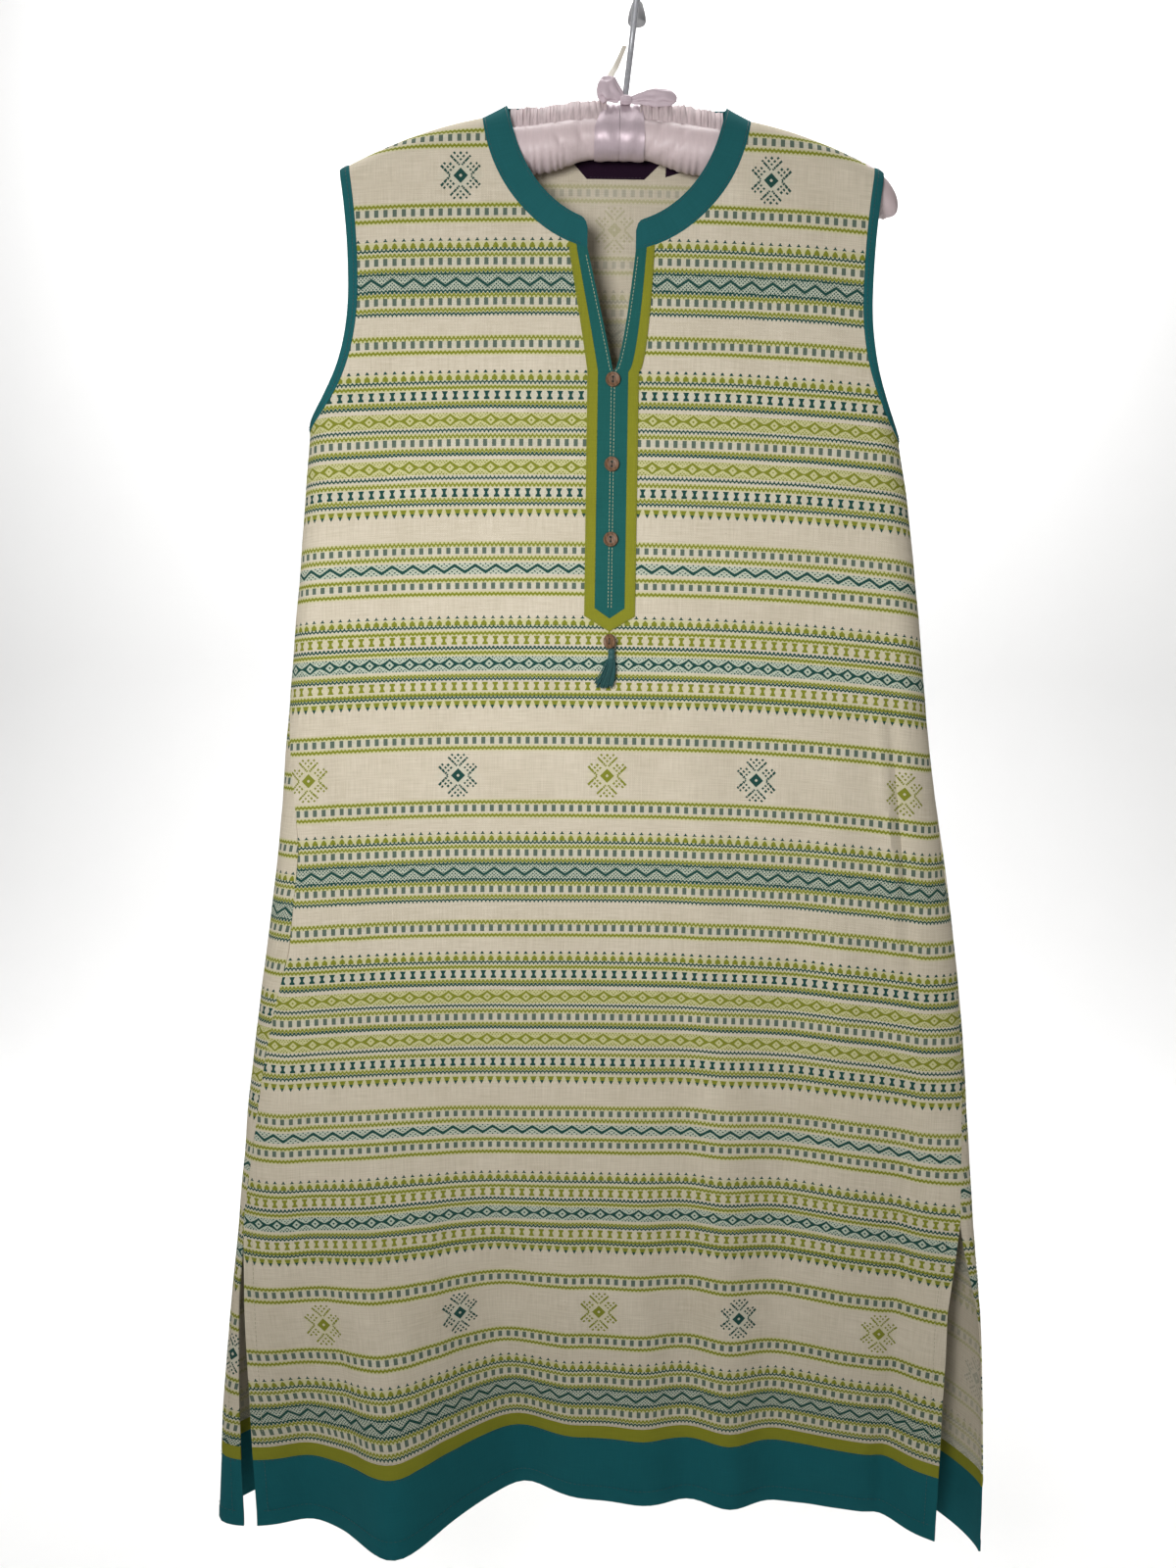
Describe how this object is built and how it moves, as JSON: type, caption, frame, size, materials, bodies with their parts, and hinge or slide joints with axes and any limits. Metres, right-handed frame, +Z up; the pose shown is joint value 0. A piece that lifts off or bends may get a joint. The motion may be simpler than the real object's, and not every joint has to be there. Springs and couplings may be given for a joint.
{
  "type": "sleeveless kurta on a padded hanger",
  "caption": "Sleeveless knee-length kurta with a slit neck, buttoned placket and side slits, hanging on a padded ribbon-tied hanger.",
  "frame": {"origin": "inner top of the hanger's hook, where a rail holds it", "axes": "+Z up, the kurta's front faces -Y, +X is the viewer's right"},
  "size_m": [0.6133, 0.1506, 1.2216],
  "materials": {
    "cream_cotton": "hand-loomed plain weave with woven teal and lime rows",
    "teal_cotton": "plain weave, matt",
    "deep_teal_cotton": "plain weave, matt",
    "lime_cotton": "plain weave, matt",
    "satin": "satin, soft sheen",
    "satin_ribbon": "satin ribbon, glossy",
    "hook_wire": "bright drawn wire",
    "grey_cap": "matt",
    "button_wood": "turned and waxed",
    "label_cloth": "woven, matt, bare"
  },
  "bodies": {
    "root": {"armhole_binding_left": "teal_cotton", "armhole_binding_right": "teal_cotton", "back_hem_band": "deep_teal_cotton", "back_lime_strip": "lime_cotton", "back_panel": "cream_cotton", "bow_knot": "satin_ribbon", "bow_loop_left": "satin_ribbon", "bow_loop_right": "satin_ribbon", "bow_tail": "satin_ribbon", "button_1": "button_wood", "button_2": "button_wood", "button_3": "button_wood", "frill_left": "satin", "frill_right": "satin", "front_hem_band": "deep_teal_cotton", "front_lime_strip": "lime_cotton", "front_panel": "cream_cotton", "hanger_arm": "satin", "hook_tip_cap": "grey_cap", "hook_wire": "hook_wire", "neck_band": "teal_cotton", "neck_label": "label_cloth", "placket_border": "lime_cotton", "placket_left": "teal_cotton", "placket_right": "teal_cotton", "ribbon_turn_left": "satin_ribbon", "ribbon_turn_right": "satin_ribbon", "size_tab": "label_cloth", "tassel": "teal_cotton", "tassel_button": "button_wood"}
  },
  "joints": []
}
